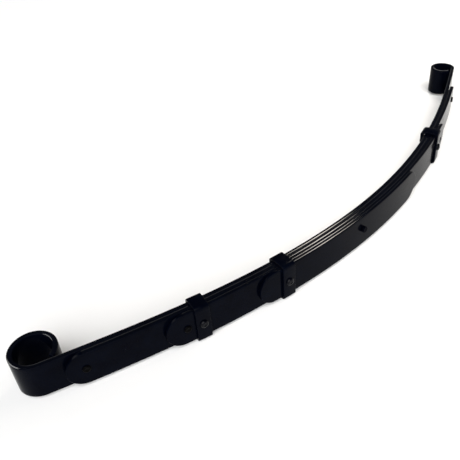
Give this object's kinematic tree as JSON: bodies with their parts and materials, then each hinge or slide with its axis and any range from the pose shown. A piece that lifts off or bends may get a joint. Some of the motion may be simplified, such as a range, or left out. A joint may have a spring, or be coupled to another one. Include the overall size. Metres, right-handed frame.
{
  "type": "leaf spring",
  "caption": "Semi-elliptic leaf spring: stacked flat leaves with rolled eyes at both ends, round-tipped shorter leaves, riveted rebound clips, tip liners and a centre bolt.",
  "frame": {"origin": "where the centre bolt's axis meets the seat face, which is the convex face of the shortest leaf; the bolt's axis is 4.5 mm above the leaves' mid width", "axes": "+X along the spring towards its longer, rear arm; +Y towards the concave side, along the centre bolt; +Z across the leaves' width, along both eyes. The spring is stored lying on its side, as pictured, in its free unloaded camber."},
  "size_m": [1.3056, 0.2654, 0.0735],
  "materials": {
    "leaf_paint": "gloss black paint over rolled spring steel",
    "clip_paint": "gloss black paint over bent steel strap",
    "fastener_paint": "gloss black paint over steel",
    "liner_plastic": "satin black plastic"
  },
  "bodies": {
    "centre": {"main_leaf": "leaf_paint", "second_leaf": "leaf_paint", "third_leaf": "leaf_paint", "fourth_leaf": "leaf_paint", "centre_bolt": "fastener_paint", "centre_bolt_nut": "fastener_paint"},
    "front_arm": {"front_inner_clip": "clip_paint", "front_inner_clip_rivet": "fastener_paint", "front_outer_clip": "clip_paint", "front_outer_clip_rivet": "fastener_paint", "second_leaf_front_liner": "liner_plastic", "third_leaf_front_liner": "liner_plastic"},
    "rear_arm": {"rear_clip": "clip_paint", "rear_clip_rivet": "fastener_paint", "second_leaf_rear_liner": "liner_plastic", "third_leaf_rear_liner": "liner_plastic"}
  },
  "joints": [
    {"name": "front_flex", "type": "hinge", "parent": "centre", "child": "front_arm", "pos_m": [-0.12075, 0.01993, -0.0045], "axis": [0, 0, 1], "range_deg": [-3, 14], "stiffness_Nm_per_rad": 4900, "deforming": ["main_leaf", "second_leaf", "third_leaf", "fourth_leaf"]},
    {"name": "rear_flex", "type": "hinge", "parent": "centre", "child": "rear_arm", "pos_m": [0.14162, 0.0231, -0.0045], "axis": [0, 0, -1], "range_deg": [-3, 14], "stiffness_Nm_per_rad": 4000, "deforming": ["main_leaf", "second_leaf", "third_leaf", "fourth_leaf"]}
  ]
}
